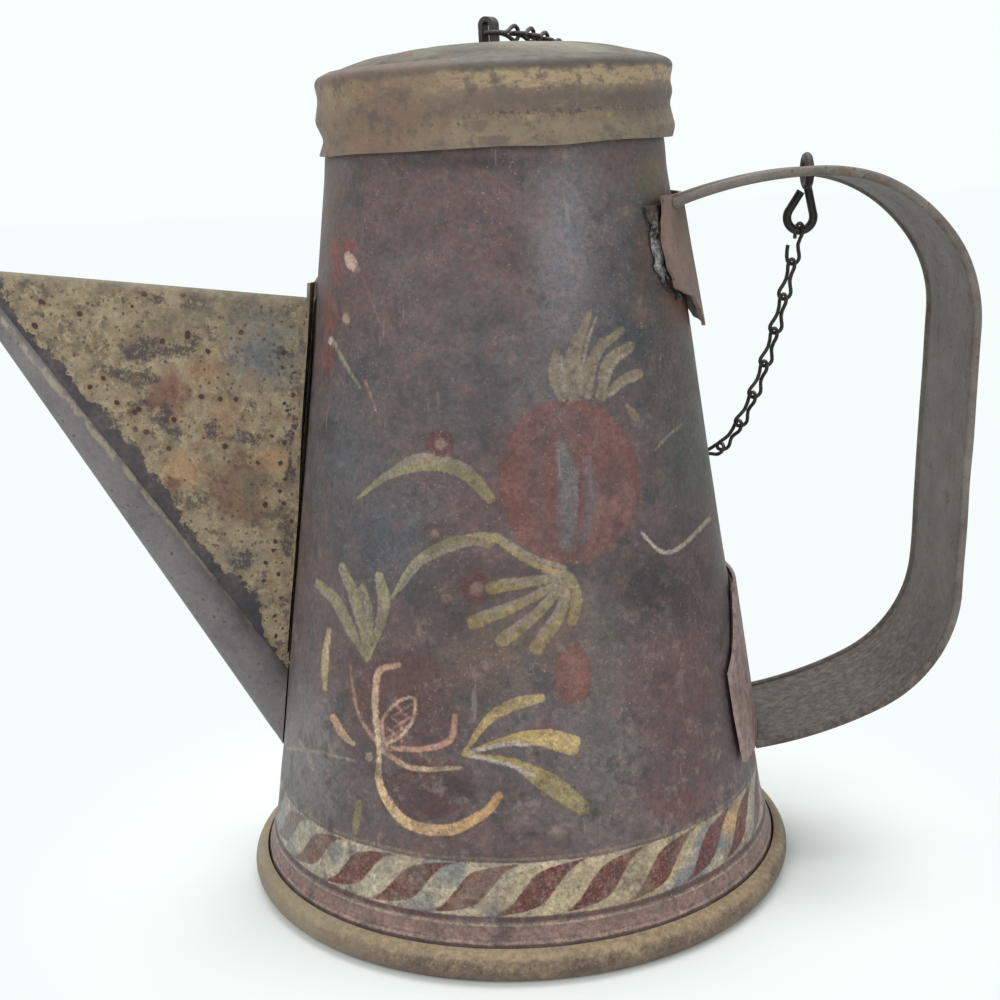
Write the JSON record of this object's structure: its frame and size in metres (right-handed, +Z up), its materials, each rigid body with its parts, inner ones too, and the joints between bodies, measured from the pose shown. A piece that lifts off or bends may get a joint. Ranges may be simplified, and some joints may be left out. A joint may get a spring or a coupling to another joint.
{
  "type": "painted tin oil can",
  "caption": "Tapered painted tin can with a long web-braced spout, strap handle, rolled foot, and a domed lift-off cap chained to the handle.",
  "frame": {"origin": "on the body's axis, in the plane of the foot on which the can stands", "axes": "+Z up along the body's axis, +X towards the handle, -X towards the spout, -Y towards the viewer in the picture"},
  "size_m": [0.2783, 0.152, 0.2303],
  "materials": {
    "body_paint": "worn brown paint with painted flowers",
    "foot_paint": "worn ochre paint",
    "cap_paint": "worn olive paint",
    "bare_tin": "dull aged tin",
    "solder": "pale torn solder",
    "spout_paint": "worn dark paint",
    "web_paint": "worn cream paint over rust",
    "handle_paint": "grey-brown paint, pitted",
    "plate_paint": "brown paint over rust",
    "iron_wire": "dark oxidised wire"
  },
  "bodies": {
    "can": {"body_shell": "body_paint", "side_seam": "body_paint", "mouth_rim": "bare_tin", "mouth_wire": "bare_tin", "bottom_plate": "bare_tin", "foot_ring": "foot_paint", "foot_wire": "bare_tin", "spout_tube": "spout_paint", "spout_tip_ring": "spout_paint", "gusset_web": "web_paint", "gusset_flange_front": "web_paint", "gusset_flange_back": "web_paint", "handle_strap": "handle_paint", "handle_hem_front": "handle_paint", "handle_hem_back": "handle_paint", "upper_tab": "plate_paint", "upper_tab_solder": "solder", "lower_plate": "plate_paint", "lower_plate_solder": "solder", "chain_link_01": "iron_wire", "chain_link_02": "iron_wire", "chain_link_03": "iron_wire", "chain_link_04": "iron_wire", "chain_link_05": "iron_wire", "chain_link_06": "iron_wire", "chain_link_07": "iron_wire", "chain_link_08": "iron_wire", "chain_link_09": "iron_wire", "chain_link_10": "iron_wire", "chain_link_11": "iron_wire", "chain_link_12": "iron_wire", "chain_link_13": "iron_wire", "chain_link_14": "iron_wire", "chain_link_15": "iron_wire", "chain_link_16": "iron_wire", "chain_link_17": "iron_wire", "chain_link_18": "iron_wire", "chain_link_19": "iron_wire", "chain_link_20": "iron_wire"},
    "eye": {"handle_eye": "iron_wire"},
    "cap": {"cap_band": "cap_paint", "cap_top": "cap_paint", "cap_loop": "iron_wire", "chain_link_21": "iron_wire", "chain_link_22": "iron_wire", "chain_link_23": "iron_wire", "chain_link_24": "iron_wire", "chain_link_25": "iron_wire", "chain_link_26": "iron_wire"}
  },
  "joints": [
    {"name": "cap_lift", "type": "slide", "parent": "can", "child": "cap", "axis": [0, 0, 1], "range_m": [0, 0.03], "deforming": ["chain_link_09", "chain_link_10", "chain_link_11", "chain_link_12", "chain_link_13", "chain_link_14", "chain_link_15", "chain_link_16", "chain_link_17", "chain_link_18", "chain_link_19", "chain_link_20"]},
    {"name": "eye_swing", "type": "hinge", "parent": "can", "child": "eye", "pos_m": [0.08571, 0.0203, 0.18792], "axis": [1, 0, 0], "range_deg": [-30, 30], "deforming": ["chain_link_01", "chain_link_02", "chain_link_03", "chain_link_04", "chain_link_05", "chain_link_06", "chain_link_07", "chain_link_08"]}
  ]
}
